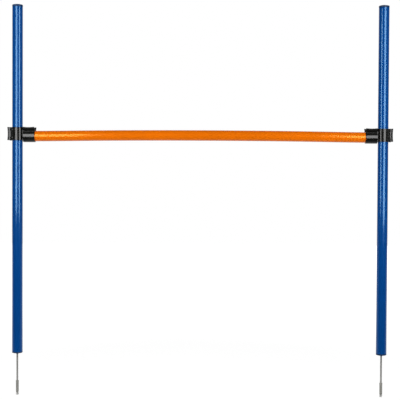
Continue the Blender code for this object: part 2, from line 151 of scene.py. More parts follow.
NodeInput = float | tuple[float, ...] | bpy.types.NodeSocket | Scalar


class NodeTree:
    """A material's or a world's nodes, added through one method."""

    def __init__(self, owner: bpy.types.Material | bpy.types.World) -> None:
        """Start an empty tree.

        Args:
            owner: The material or world whose nodes are made.
        """
        owner.use_nodes = True
        self.tree = owner.node_tree
        self.tree.nodes.clear()

    def add(
        self,
        kind: str,
        settings: dict[str, object] | None = None,
        inputs: dict[str | int, NodeInput] | None = None,
    ) -> bpy.types.Node:
        """Add one node.

        Args:
            kind: The node's type, without its ShaderNode prefix.
            settings: Properties of the node, or "stops" for a ramp, set before its sockets.
            inputs: A value, a socket or a Scalar for each input socket, by name or index.

        Returns:
            The new node.
        """
        node = self.tree.nodes.new("ShaderNode" + kind)
        for name, value in (settings or {}).items():
            if name == "stops":
                self._set_stops(node.color_ramp, value)
            else:
                setattr(node, name, value)
        for key, value in (inputs or {}).items():
            socket = node.inputs[key]
            if isinstance(value, Scalar):
                self.tree.links.new(value.socket, socket)
            elif isinstance(value, bpy.types.NodeSocket):
                self.tree.links.new(value, socket)
            else:
                socket.default_value = value
        return node

    @staticmethod
    def _set_stops(ramp: bpy.types.ColorRamp, stops: Sequence[tuple[float, Colour]]) -> None:
        """Give a colour ramp its stops.

        Args:
            ramp: The ramp.
            stops: Each stop's place and colour, from left to right.
        """
        while len(ramp.elements) < len(stops):
            ramp.elements.new(1.0)
        for element, (place, colour) in zip(ramp.elements, stops):
            element.position = place
            element.color = (*colour, 1.0)

    def place(self, stretch: Triple = (1.0, 1.0, 1.0)) -> bpy.types.NodeSocket:
        """Give the point on the object, scaled along each axis.

        Args:
            stretch: The factor along X, Y and Z.

        Returns:
            A vector socket.
        """
        point = self.add("TexCoord").outputs["Object"]
        return self.add("VectorMath", {"operation": "MULTIPLY"}, {0: point, 1: stretch}).outputs[0]

    def noise(self, rate: float | Triple, detail: float = 2.0, rough: float = 0.5) -> Scalar:
        """Make a noise that is centred on one half.

        Args:
            rate: Cycles per metre, one number or one each along X, Y and Z.
            detail: Octaves of finer noise.
            rough: The weight of the finer noise.

        Returns:
            The noise's value.
        """
        point = self.place(rate if isinstance(rate, tuple) else (rate, rate, rate))
        inputs = {"Vector": point, "Scale": 1.0, "Detail": detail, "Roughness": rough}
        return Scalar(self, self.add("TexNoise", None, inputs).outputs[0])

    def worn_edges(
        self,
        edge: Span = (0.515, 0.60),
        least: float = 0.3,
        patch_rate: float = 90.0,
        patch_rise: Span = (0.30, 0.65),
    ) -> Scalar:
        """Find the places where outer edges have been rubbed.

        Args:
            edge: The pointiness at which the rubbing starts, and the one that is rubbed in full.
            least: The share of the rubbing that every stretch of an edge gets.
            patch_rate: Cycles per metre of the noise that leaves some stretches fresher.
            patch_rise: The values of that noise between which the rubbing grows.

        Returns:
            A share that is largest on the most exposed stretches of the edges.
        """
        pointed = Scalar(self, self.add("NewGeometry").outputs["Pointiness"]).rise(*edge)
        patches = self.noise(patch_rate).rise(*patch_rise)
        return pointed * (patches * (1 - least) + least)

    def blend(
        self, share: Scalar | float, first: NodeInput, second: NodeInput
    ) -> bpy.types.NodeSocket:
        """Mix two colours.

        Args:
            share: The second colour's share.
            first: A colour or a colour socket.
            second: A colour or a colour socket.

        Returns:
            A colour socket.
        """
        # A Mix node has sockets for each kind of data: 6 and 7 take the colours, and 2 gives one.
        inputs = {0: share, 6: as_rgba(first), 7: as_rgba(second)}
        return self.add("Mix", {"data_type": "RGBA"}, inputs).outputs[2]

    def bump(self, height: Scalar, depth: float, strength: float = 1.0) -> bpy.types.NodeSocket:
        """Turn a height into a surface normal.

        Args:
            height: The height, from 0 to 1.
            depth: The depth in metres that a height of 1 stands for.
            strength: The share of the effect.

        Returns:
            A normal socket.
        """
        inputs = {"Height": height, "Distance": depth, "Strength": strength}
        return self.add("Bump", None, inputs).outputs[0]

    def surface(self, inputs: dict[str | int, NodeInput]) -> None:
        """Close a material with a Principled shader.

        Args:
            inputs: The shader's sockets.
        """
        shader = self.add("BsdfPrincipled", None, inputs)
        self.add("OutputMaterial", None, {"Surface": shader.outputs[0]})


def as_rgba(colour: NodeInput) -> NodeInput:
    """Give a colour tuple its alpha, and leave a socket as it is."""
    return (*colour, 1.0) if isinstance(colour, tuple) else colour


def scaled(colour: Triple, factor: float, lift: float = 0.0) -> Triple:
    """Scale three numbers by a factor, and add the same amount to each."""
    return tuple(channel * factor + lift for channel in colour)


def two_tones(colour: Colour, factors: Span) -> tuple[Colour, Colour]:
    """Give a colour's darker and its lighter tone."""
    return scaled(colour, factors[0]), scaled(colour, factors[1])


class Lay(Enum):
    """The way that a surface's fine lines run, as cycles per metre along X, Y and Z."""

    ALONG_X = (2.5, 520.0, 520.0)
    ALONG_Z = (520.0, 520.0, 2.5)


class Finish:
    """A surface finish, made into one material for each piece that wears it."""

    def make(self, name: str) -> bpy.types.Material:
        """Build the finish's material.

        Args:
            name: The material's name.

        Returns:
            The material.
        """
        material = bpy.data.materials.new(name)
        self.fill(NodeTree(material))
        return material

    def fill(self, tree: NodeTree) -> None:
        """Add the finish's nodes to an empty tree."""
        raise NotImplementedError(type(self).__name__)


@dataclass(frozen=True)
class ExtrudedPlastic(Finish):
    """Glossy tube plastic with die lines, a slight drift of colour and a few hairline rubs."""

    colour: Colour
    lay: Lay
    shine: Colour
    roughness: float
    ior: float = 1.55
    line_share: float = 0.45
    line_swing: float = 0.04
    line_height: float = 0.8
    line_depth: float = 0.000003
    drift_rate: float = 9.0
    tone_rise: Span = (0.25, 0.75)
    tones: Span = (0.94, 1.04)
    mottle_rate: float = 260.0
    mottle_swing: float = 0.03
    hair_fineness: float = 2.6
    hair_rise: Span = (0.70, 0.80)
    patch_rate: float = 16.0
    patch_rise: Span = (0.52, 0.68)
    rub_gain: float = 1.1
    rub_lift: float = 0.03
    rub_paleness: float = 0.35
    rub_dulling: float = 0.18
    rub_depth: float = 0.5

    def fill(self, tree: NodeTree) -> None:
        """Add the plastic's nodes.

        Args:
            tree: An empty tree.
        """
        lines = tree.noise(self.lay.value, *FINE_NOISE)
        drift = tree.noise(self.drift_rate)
        mottle = tree.noise(self.mottle_rate, *FINE_NOISE)
        hair_rates = scaled(self.lay.value, self.hair_fineness)
        hairs = tree.noise(hair_rates, detail=1.0).rise(*self.hair_rise)
        patches = tree.noise(self.patch_rate, detail=1.0).rise(*self.patch_rise)
        rubs = (hairs * patches).above(tree.worn_edges())
        rubbed = scaled(self.colour, self.rub_gain, self.rub_lift)
        tone = lines.mixed(self.line_share, drift).rise(*self.tone_rise)
        base = tree.blend(tone, *two_tones(self.colour, self.tones))
        uneven = lines.swing(self.line_swing) + mottle.swing(self.mottle_swing)
        height = lines.mixed(self.line_height, mottle) - rubs * self.rub_depth
        tree.surface(
            {
                "Base Color": tree.blend(rubs * self.rub_paleness, base, rubbed),
                "Roughness": self.roughness + uneven + rubs * self.rub_dulling,
                "Normal": tree.bump(height, self.line_depth),
                "IOR": self.ior,
                "Specular Tint": (*self.shine, 1.0),
            }
        )


@dataclass(frozen=True)
class MouldedPlastic(Finish):
    """Injection moulded plastic: fine spark texture, soft flow lines and patches of dust."""

    colour: Colour
    roughness: float
    gloss: float = 0.5
    ior: float = 1.5
    grain: float = 1500.0
    grain_weight: float = 0.55
    grain_share: float = 0.7
    grain_swing: float = 0.08
    grain_depth: float = 0.000008
    flow_rates: Triple = (38.0, 38.0, 120.0)
    flow_rise: Span = (0.3, 0.7)
    flow_tones: Span = (0.85, 1.15)
    flow_swing: float = 0.10
    haze_rate: float = 60.0
    haze_rise: Span = (0.45, 0.75)
    haze_lift: float = 0.012
    haze_paleness: float = 0.35
    haze_dulling: float = 0.05
    wear_gain: float = 1.2
    wear_lift: float = 0.020
    wear_paleness: float = 0.6
    wear_dulling: float = 0.14

    def fill(self, tree: NodeTree) -> None:
        """Add the moulding's nodes.

        Args:
            tree: An empty tree.
        """
        spark = tree.noise(self.grain, rough=self.grain_weight)
        flow = tree.noise(self.flow_rates, detail=3.0)
        haze = tree.noise(self.haze_rate).rise(*self.haze_rise)
        worn = tree.worn_edges()
        dusty = scaled(self.colour, 1.0, self.haze_lift)
        rubbed = scaled(self.colour, self.wear_gain, self.wear_lift)
        base = tree.blend(flow.rise(*self.flow_rise), *two_tones(self.colour, self.flow_tones))
        base = tree.blend(haze * self.haze_paleness, base, dusty)
        base = tree.blend(worn * self.wear_paleness, base, rubbed)
        uneven = spark.swing(self.grain_swing) + flow.swing(self.flow_swing)
        uneven += haze * self.haze_dulling + worn * self.wear_dulling
        tree.surface(
            {
                "Base Color": base,
                "Roughness": self.roughness + uneven,
                "Normal": tree.bump(spark.mixed(self.grain_share, flow), self.grain_depth),
                "Specular IOR Level": self.gloss,
                "IOR": self.ior,
            }
        )


@dataclass(frozen=True)
class SpikeSteel(Finish):
    """Zinc plated steel rod with drawn lines, a faint spangle and duller handled patches."""

    colour: Colour
    lay: Lay = Lay.ALONG_Z
    roughness: float = 0.27
    line_fineness: float = 3.0
    line_share: float = 0.7
    line_swing: float = 0.12
    relief: float = 0.00003
    spangle: Triple = (420.0, 420.0, 260.0)
    spangle_darkness: float = 0.2
    dull_rates: Triple = (45.0, 45.0, 30.0)
    dull_rise: Span = (0.42, 0.70)
    dull_darkness: float = 0.6
    dull_tone: float = 0.72
    dulling: float = 0.14
    wear_share: float = 0.5
    wear_tone: float = 1.15
    wear_dulling: float = 0.10

    def fill(self, tree: NodeTree) -> None:
        """Add the steel's nodes.

        Args:
            tree: An empty tree.
        """
        lines = tree.noise(scaled(self.lay.value, self.line_fineness))
        cells = tree.add("TexVoronoi", None, {"Vector": tree.place(self.spangle), "Scale": 1.0})
        spangle = Scalar(tree, cells.outputs["Distance"])
        dull = tree.noise(self.dull_rates, *FINE_NOISE).rise(*self.dull_rise)
        worn = tree.worn_edges()
        darkness = dull * self.dull_darkness + spangle * self.spangle_darkness
        grey = tree.blend(darkness, self.colour, scaled(self.colour, self.dull_tone))
        rubbed = scaled(self.colour, self.wear_tone)
        uneven = lines.swing(self.line_swing) + dull * self.dulling + worn * self.wear_dulling
        tree.surface(
            {
                "Base Color": tree.blend(worn * self.wear_share, grey, rubbed),
                "Metallic": 1.0,
                "Roughness": self.roughness + uneven,
                "Normal": tree.bump(lines.mixed(self.line_share, spangle), self.relief),
            }
        )


@dataclass(frozen=True)
class GuardPlastic(Finish):
    """Soft translucent plastic that lets the rod show through and clears towards its end."""

    colour: Colour
    clear_below: float
    clearing: Span = (0.6, 1.25)
    opacity: float = 0.92
    tip_opacity: float = 0.28
    opacity_swing: float = 0.06
    roughness: float = 0.34
    roughness_swing: float = 0.15
    ior: float = 1.49
    relief: float = 0.00004
    grain: float = 1800.0
    grain_share: float = 0.5
    cloud_rates: Triple = (150.0, 150.0, 60.0)
    cloud_tones: Span = (0.9, 1.08)
    wear_share: float = 0.5
    wear_tone: float = 1.35
    wear_dulling: float = 0.15

    def fill(self, tree: NodeTree) -> None:
        """Add the guard's nodes.

        Args:
            tree: An empty tree.
        """
        height = Scalar(tree, tree.add("SeparateXYZ", None, {0: tree.place()}).outputs["Z"])
        body = height.rise(*(self.clear_below * share for share in self.clearing))
        cloud = tree.noise(self.cloud_rates, *FINE_NOISE)
        spark = tree.noise(self.grain)
        worn = tree.worn_edges()
        grey = tree.blend(cloud, *two_tones(self.colour, self.cloud_tones))
        rubbed = scaled(self.colour, self.wear_tone)
        alpha = body * (self.opacity - self.tip_opacity) + self.tip_opacity
        uneven = cloud.swing(self.roughness_swing) + worn * self.wear_dulling
        tree.surface(
            {
                "Base Color": tree.blend(worn * self.wear_share, grey, rubbed),
                "Alpha": alpha + cloud.swing(self.opacity_swing),
                "Roughness": self.roughness + uneven,
                "Normal": tree.bump(spark.mixed(self.grain_share, cloud), self.relief),
                "IOR": self.ior,
            }
        )


BLUE = (0.0014, 0.0610, 0.2700)
BLUE_SHINE = (0.32, 0.62, 0.86)
NAVY = (0.0080, 0.0400, 0.1150)
ORANGE = (0.8700, 0.1720, 0.0015)
ORANGE_SHINE = (0.86, 0.50, 0.11)
PLUG_ORANGE = scaled(ORANGE, 0.95)
BLACK = (0.0045, 0.0048, 0.0040)
STEEL = (0.5900, 0.5850, 0.5600)
GREY = (0.3500, 0.3470, 0.3180)


def arc(centre: Sequence[float], radius: float, start: float, end: float, steps: int) -> Profile:
    """Give points on a circle's arc.

    Args:
        centre: The circle's centre.
        radius: The circle's radius.
        start: The first point's angle, in radians.
        end: The last point's angle.
        steps: The number of chords.

    Returns:
        The points, both ends included.
    """
    points = []
    for step in range(steps + 1):
        angle = start + (end - start) * step / steps
        points.append((centre[0] + radius * math.cos(angle), centre[1] + radius * math.sin(angle)))
    return points


def rounded(profile: Sequence[Triple], steps: int = 3) -> Profile:
    """Round the corners of an open profile.

    Args:
        profile: Points (radius, height, corner radius); a corner radius of 0 keeps the corner.
        steps: Chords in each rounded corner.

    Returns:
        The profile with its corners turned to arcs.
    """
    points: Profile = []
    for index, (x, y, radius) in enumerate(profile):
        corner = Vector((x, y))
        if radius <= 0 or index in (0, len(profile) - 1):
            points.append((x, y))
            continue
        before = (Vector(profile[index - 1][:2]) - corner).normalized()
        after = (Vector(profile[index + 1][:2]) - corner).normalized()
        half = before.angle(after) / 2
        reach = radius / math.tan(half)
        centre = corner + (before + after).normalized() * (radius / math.sin(half))
        first = corner + before * reach - centre
        last = corner + after * reach - centre
        start = math.atan2(first.y, first.x)
        turn = (math.atan2(last.y, last.x) - start + math.pi) % (2 * math.pi) - math.pi
        points += arc(centre, radius, start, start + turn, steps)
    return points


def braced(profile: Sequence[Point], reach: float = BRACE) -> Profile:
    """Add a point near each end of a profile's long lines, so that their shading stays straight.

    Args:
        profile: Points (radius, height).
        reach: The added points' distance from the line's ends.

    Returns:
        The profile with the added points.
    """
    points: Profile = []
    for first, second in zip(profile, profile[1:]):
        points.append(first)
        along = Vector(second) - Vector(first)
        if along.length > 4 * reach:
            inset = along.normalized() * reach
            points += [tuple(Vector(first) + inset), tuple(Vector(second) - inset)]
    return points + [profile[-1]]


def lathe(profile: Sequence[Point], segments: int, closed: bool) -> bmesh.types.BMesh:
    """Turn a profile about Z.

    Args:
        profile: Points (radius, height).
        segments: Facets round the axis.
        closed: Whether the last point joins the first one.

    Returns:
        The turned surface.
    """
    bm = bmesh.new()
    turns = [2 * math.pi * step / segments for step in range(segments)]
    rings = []
    for radius, height in profile:
        around = turns if radius > WELD else turns[:1]
        points = [(radius * math.cos(turn), radius * math.sin(turn), height) for turn in around]
        rings.append([bm.verts.new(point) for point in points])
    pairs = list(zip(rings, rings[1:]))
    if closed:
        pairs.append((rings[-1], rings[0]))
    for below, above in pairs:
        for index in range(segments):
            after = (index + 1) % segments
            corners = [below[index % len(below)], below[after % len(below)]]
            corners += [above[after % len(above)], above[index % len(above)]]
            bm.faces.new(list(dict.fromkeys(corners)))
    return bm


def prism(outline: Sequence[Point], bottom: float, top: float) -> bmesh.types.BMesh:
    """Draw a closed outline up along Z.

    Args:
        outline: Points in X and Y.
        bottom: The lower end.
        top: The upper end.

    Returns:
        The closed solid.
    """
    bm = bmesh.new()
    face = bm.faces.new([bm.verts.new((x, y, bottom)) for x, y in outline])
    drawn = bmesh.ops.extrude_face_region(bm, geom=[face])
    moved = [item for item in drawn["geom"] if isinstance(item, bmesh.types.BMVert)]
    bmesh.ops.translate(bm, verts=moved, vec=(0.0, 0.0, top - bottom))
    return bm


def shift(bm: bmesh.types.BMesh, matrix: Matrix) -> bmesh.types.BMesh:
    """Move a whole bmesh.

    Args:
        bm: The mesh.
        matrix: The 4 x 4 transform.

    Returns:
        The same mesh.
    """
    bmesh.ops.transform(bm, verts=bm.verts, matrix=matrix)
    return bm


def to_mesh(bm: bmesh.types.BMesh, name: str) -> bpy.types.Mesh:
    """Weld a bmesh, turn its faces outwards and shade its round sides smooth.

    Args:
        bm: The mesh, which is freed.
        name: The new mesh's name.

    Returns:
        The finished mesh.
    """
    bmesh.ops.remove_doubles(bm, verts=bm.verts, dist=WELD)
    bmesh.ops.recalc_face_normals(bm, faces=bm.faces)
    mesh = bpy.data.meshes.new(name)
    bm.to_mesh(mesh)
    bm.free()
    smooth(mesh)
    return mesh


def weld_joints(mesh: bpy.types.Mesh) -> None:
    """Merge the near-double points that joining solids leaves.

    Args:
        mesh: The joined mesh, which is changed.
    """
    bm = bmesh.new()
    bm.from_mesh(mesh)
    bmesh.ops.remove_doubles(bm, verts=bm.verts, dist=JOINT_WELD)
    bm.to_mesh(mesh)
    bm.free()


def smooth(mesh: bpy.types.Mesh) -> None:
    """Shade a mesh smooth except at its sharp edges."""
    mesh.shade_smooth()
    mesh.set_sharp_from_angle(angle=SMOOTH_ANGLE)


def new_object(name: str, mesh: bpy.types.Mesh) -> bpy.types.Object:
    """Link a mesh into the scene as an object at the origin.

    Args:
        name: The object's name.
        mesh: The mesh.

    Returns:
        The object.
    """
    obj = bpy.data.objects.new(name, mesh)
    bpy.context.scene.collection.objects.link(obj)
    return obj


class Join(Enum):
    """What one solid does to another."""

    ADD = "UNION"
    CUT = "DIFFERENCE"


def combine(target: bpy.types.Object, tool: bmesh.types.BMesh, join: Join) -> None:
    """Join a solid to an object or cut it out of it.

    Args:
        target: The object that changes.
        tool: The solid, which is used up.
        join: Whether the solid is added or cut.
    """
    helper = new_object("helper", to_mesh(tool, "helper"))
    modifier = target.modifiers.new("combine", "BOOLEAN")
    modifier.operation = join.value
    modifier.solver = "EXACT"
    modifier.object = helper
    graph = bpy.context.evaluated_depsgraph_get()
    mesh = bpy.data.meshes.new_from_object(target.evaluated_get(graph))
    target.modifiers.remove(modifier)
    target.data = mesh
    bpy.data.objects.remove(helper, do_unlink=True)


class Side(Enum):
    """The two ends of the hurdle, as the photo shows them, with the sign of X there."""

    LEFT = -1
    RIGHT = 1

    @property
    def word(self) -> str:
        """The side's name in node names."""
        return self.name.lower()


def dress(obj: bpy.types.Object, material: bpy.types.Material) -> None:
    """Put one material on an object's mesh.

    Args:
        obj: The object.
        material: The material.
    """
    obj.data.materials.clear()
    obj.data.materials.append(material)


def add_piece(
    name: str,
    mesh: bpy.types.Mesh,
    material: bpy.types.Material,
    body: str,
    node: str,
) -> bpy.types.Object:
    """Set one piece in the frame in place of its CAD node.

    Args:
        name: The piece's name.
        mesh: Its mesh, in the frame's own coordinates.
        material: Its material.
        body: The body that it rides on.
        node: The CAD node that it stands for.

    Returns:
        The piece.
    """
    obj = new_object(name, mesh)
    dress(obj, material)
    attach(obj, body)
    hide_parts(node)
    LOG.info("%s rides on %s: %d faces", name, body, len(mesh.polygons))
    return obj


def redress_node(node: str, material: bpy.types.Material) -> None:
    """Give a CAD node that stays in view a better material.

    Args:
        node: The node's name.
        material: The material for all its slots.
    """
    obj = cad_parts[node]
    for material_slot in obj.material_slots:
        material_slot.material = material
    LOG.info("%s keeps its solid in a new finish", node)


@dataclass
class Post:
    """One post: tube, top cap, foot plug, ground spike and tip guard."""

    side: Side
    body: str = "posts"
    segments: int = 96
    rod_segments: int = 48
    round_steps: int = 4
    wall: float = 0.0018
    edge: float = 0.0005
    fit_gap: float = 0.0003
    cap_side: float = 0.0055
    cap_dome: float = 0.0029
    cap_shoulder: float = 0.0010
    shoulder_start: float = math.radians(70.0)
    cap_brace: float = 0.0004
    dome_steps: int = 12
    gate_radius: float = 0.0011
    gate_floor_radius: float = 0.00077
    gate_depth: float = 0.00025
    skirt_wall: float = 0.0016
    rib_height: float = 0.0005
    rib_width: float = 0.0014
    rib_count: int = 2
    point_length: float = 0.0090
    point_flat: float = 0.0006
    point_round: float = 0.0003
    point_shoulder: float = 0.0030
    guard_wall: float = 0.0014
    guard_end: float = 0.0020
    guard_round: float = 0.0022
    guard_thinning: float = 0.00025
    guard_nose: float = 0.0060
    guard_taper: float = 0.0040
    guard_soft: float = 0.0020
    guard_lip: float = 0.0040
    guard_lip_taper: float = 0.0020
    guard_lip_round: float = 0.0006
    guard_bore_round: float = 0.0004
    guard_clear: float = 0.0120
    low: Vector = field(init=False)
    high: Vector = field(init=False)

    def __post_init__(self) -> None:
        """Take the tube's place from the frame."""
        self.low, self.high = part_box(self.node("post_tube"))

    def node(self, part: str) -> str:
        """Name one of this post's nodes."""
        return f"{self.side.word}_{part}"

    @property
    def axis_x(self) -> float:
        """The post axis's place along X."""
        return (self.low.x + self.high.x) / 2

    @property
    def radius(self) -> float:
        """The tube's outer radius."""
        return (self.high.x - self.low.x) / 2

    def stand(self, bm: bmesh.types.BMesh, height: float) -> bmesh.types.BMesh:
        """Set a turned piece on the post's axis.

        Args:
            bm: The piece about Z.
            height: The place of its zero height.

        Returns:
            The same mesh in the frame's coordinates.
        """
        return shift(bm, Matrix.Translation((self.axis_x, 0.0, height)))

    def tube_mesh(self) -> bpy.types.Mesh:
        """Turn the tube, with the soft edges that a saw and a scraper leave.

        Returns:
            The mesh, in the frame's coordinates.
        """
        inner = self.radius - self.wall
        length = self.high.z - self.low.z
        seam = (inner, length / 2, 0.0)
        section = [seam, (inner, 0.0, self.edge), (self.radius, 0.0, self.edge)]
        section += [(self.radius, length, self.edge), (inner, length, self.edge), seam]
        bm = lathe(braced(rounded(section))[:-1], self.segments, closed=True)
        return to_mesh(self.stand(bm, self.low.z), self.node("post_skin"))

    def cap_head(self) -> Profile:
        """Draw the cap's head: dome with its gate mark, rounded shoulder and straight side.

        Returns:
            Points (radius, height above the tube's end), from the axis out and down.
        """
        dome_radius = (self.radius**2 + self.cap_dome**2) / (2 * self.cap_dome)
        crown = self.cap_side + self.cap_dome
        shoulder_reach = self.radius - self.cap_shoulder
        half_angle = math.asin(shoulder_reach / dome_radius)
        gate_floor = crown - self.gate_depth
        head: Profile = [(0.0, gate_floor), (self.gate_floor_radius, gate_floor)]
        for step in range(1, self.dome_steps + 1):
            angle = half_angle * step / self.dome_steps
            radius = dome_radius * math.sin(angle)
            if radius > self.gate_radius:
                head.append((radius, crown - dome_radius * (1 - math.cos(angle))))
        shoulder = (shoulder_reach, head[-1][1] - self.cap_shoulder)
        head += arc(shoulder, self.cap_shoulder, self.shoulder_start, 0.0, self.round_steps)
        return head + [(self.radius, self.edge / 2), (self.radius - self.edge / 2, 0.0)]

    def cap_mesh(self) -> bpy.types.Mesh:
        """Turn the top cap: the head, and the ribbed hollow skirt below it.

        Returns:
            The mesh, in the frame's coordinates.
        """
        rib = self.radius - self.wall - self.fit_gap
        root = rib - self.rib_height
        bore = root - self.skirt_wall
        roof = self.cap_side - self.skirt_wall
        crown = self.cap_side + self.cap_dome
        low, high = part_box(self.node("top_cap"))
        depth = (high.z - low.z) - crown
        skirt: Profile = [(root, 0.0)]
        for count in range(1, self.rib_count + 1):
            middle = -depth * count / (self.rib_count + 1)
            above, below = middle + self.rib_width, middle - self.rib_width
            skirt += [(root, above), (rib, middle), (root, below)]
        skirt += [(root, -depth + self.edge), (root - self.edge, -depth)]
        skirt += [(bore, -depth), (bore, roof), (0.0, roof)]
        profile = braced(self.cap_head() + skirt, self.cap_brace)
        bm = lathe(profile, self.segments, closed=False)
        return to_mesh(self.stand(bm, high.z - crown), self.node("cap"))

    def rod_mesh(self, section: Sequence[Triple], height: float, name: str) -> bpy.types.Mesh:
        """Turn one of the slim pieces below the foot.

        Args:
            section: Its outline, as the function rounded takes it.
            height: The place of its lower end.
            name: The mesh's name.

        Returns:
            The mesh.
        """
        profile = braced(rounded(section, self.round_steps))
        return to_mesh(self.stand(lathe(profile, self.rod_segments, closed=False), height), name)

    def spike_mesh(self) -> bpy.types.Mesh:
        """Turn the spike: drawn rod, ground point with a soft shoulder, chamfered hidden end.

        Returns:
            The mesh, in the frame's coordinates.
        """
        low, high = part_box(self.node("ground_spike"))
        radius = (high.x - low.x) / 2
        length = high.z - low.z
        section = [(0.0, 0.0, 0.0), (self.point_flat, 0.0, self.point_round)]
        section += [(radius, self.point_length, self.point_shoulder)]
        section += [(radius, length, self.edge), (0.0, length, 0.0)]
        return self.rod_mesh(section, low.z, self.node("spike"))

    def guard_mesh(self) -> bpy.types.Mesh:
        """Turn the tip guard: sleeve with a round closed end and a rolled mouth.

        Returns:
            The mesh, in the frame's coordinates.
        """
        low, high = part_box(self.node("tip_guard"))
        radius = (high.x - low.x) / 2
        bore = radius - self.guard_wall
        thin = radius - self.guard_thinning
        length = high.z - low.z
        mouth = length - self.guard_lip
        soft = self.guard_soft
        section = [(0.0, 0.0, 0.0), (radius, 0.0, self.guard_round)]
        section += [(radius, self.guard_nose, soft)]
        section += [(thin, self.guard_nose + self.guard_taper, 2 * soft)]
        section += [(thin, mouth - self.guard_lip_taper, soft), (radius, mouth, soft / 2)]
        section += [(radius, length, self.guard_lip_round), (bore, length, self.guard_bore_round)]
        section += [(bore, self.guard_end, self.guard_lip_round), (0.0, self.guard_end, 0.0)]
        return self.rod_mesh(section, low.z, self.node("guard"))

    def build(self) -> None:
        """Build the post's pieces and dress them."""
        tube = ExtrudedPlastic(BLUE, Lay.ALONG_Z, BLUE_SHINE, roughness=0.13)
        moulded = MouldedPlastic(NAVY, roughness=0.40, gloss=0.16)
        steel = SpikeSteel(STEEL)
        soft = GuardPlastic(GREY, self.guard_clear)
        guard = self.node("tip_guard")
        pieces = (
            ("post_skin", self.tube_mesh(), tube, self.body, "post_tube", "post_blue"),
            ("cap", self.cap_mesh(), moulded, self.body, "top_cap", "cap_navy"),
            ("spike", self.spike_mesh(), steel, self.body, "ground_spike", "spike_steel"),
            ("guard", self.guard_mesh(), soft, guard, "tip_guard", "guard_grey"),
        )
        for name, mesh, finish, body, node, slot in pieces:
            material = finish.make(self.node(slot))
            add_piece(self.node(name), mesh, material, body, self.node(node))
            if finish is moulded:
                redress_node(self.node("foot_plug"), material)


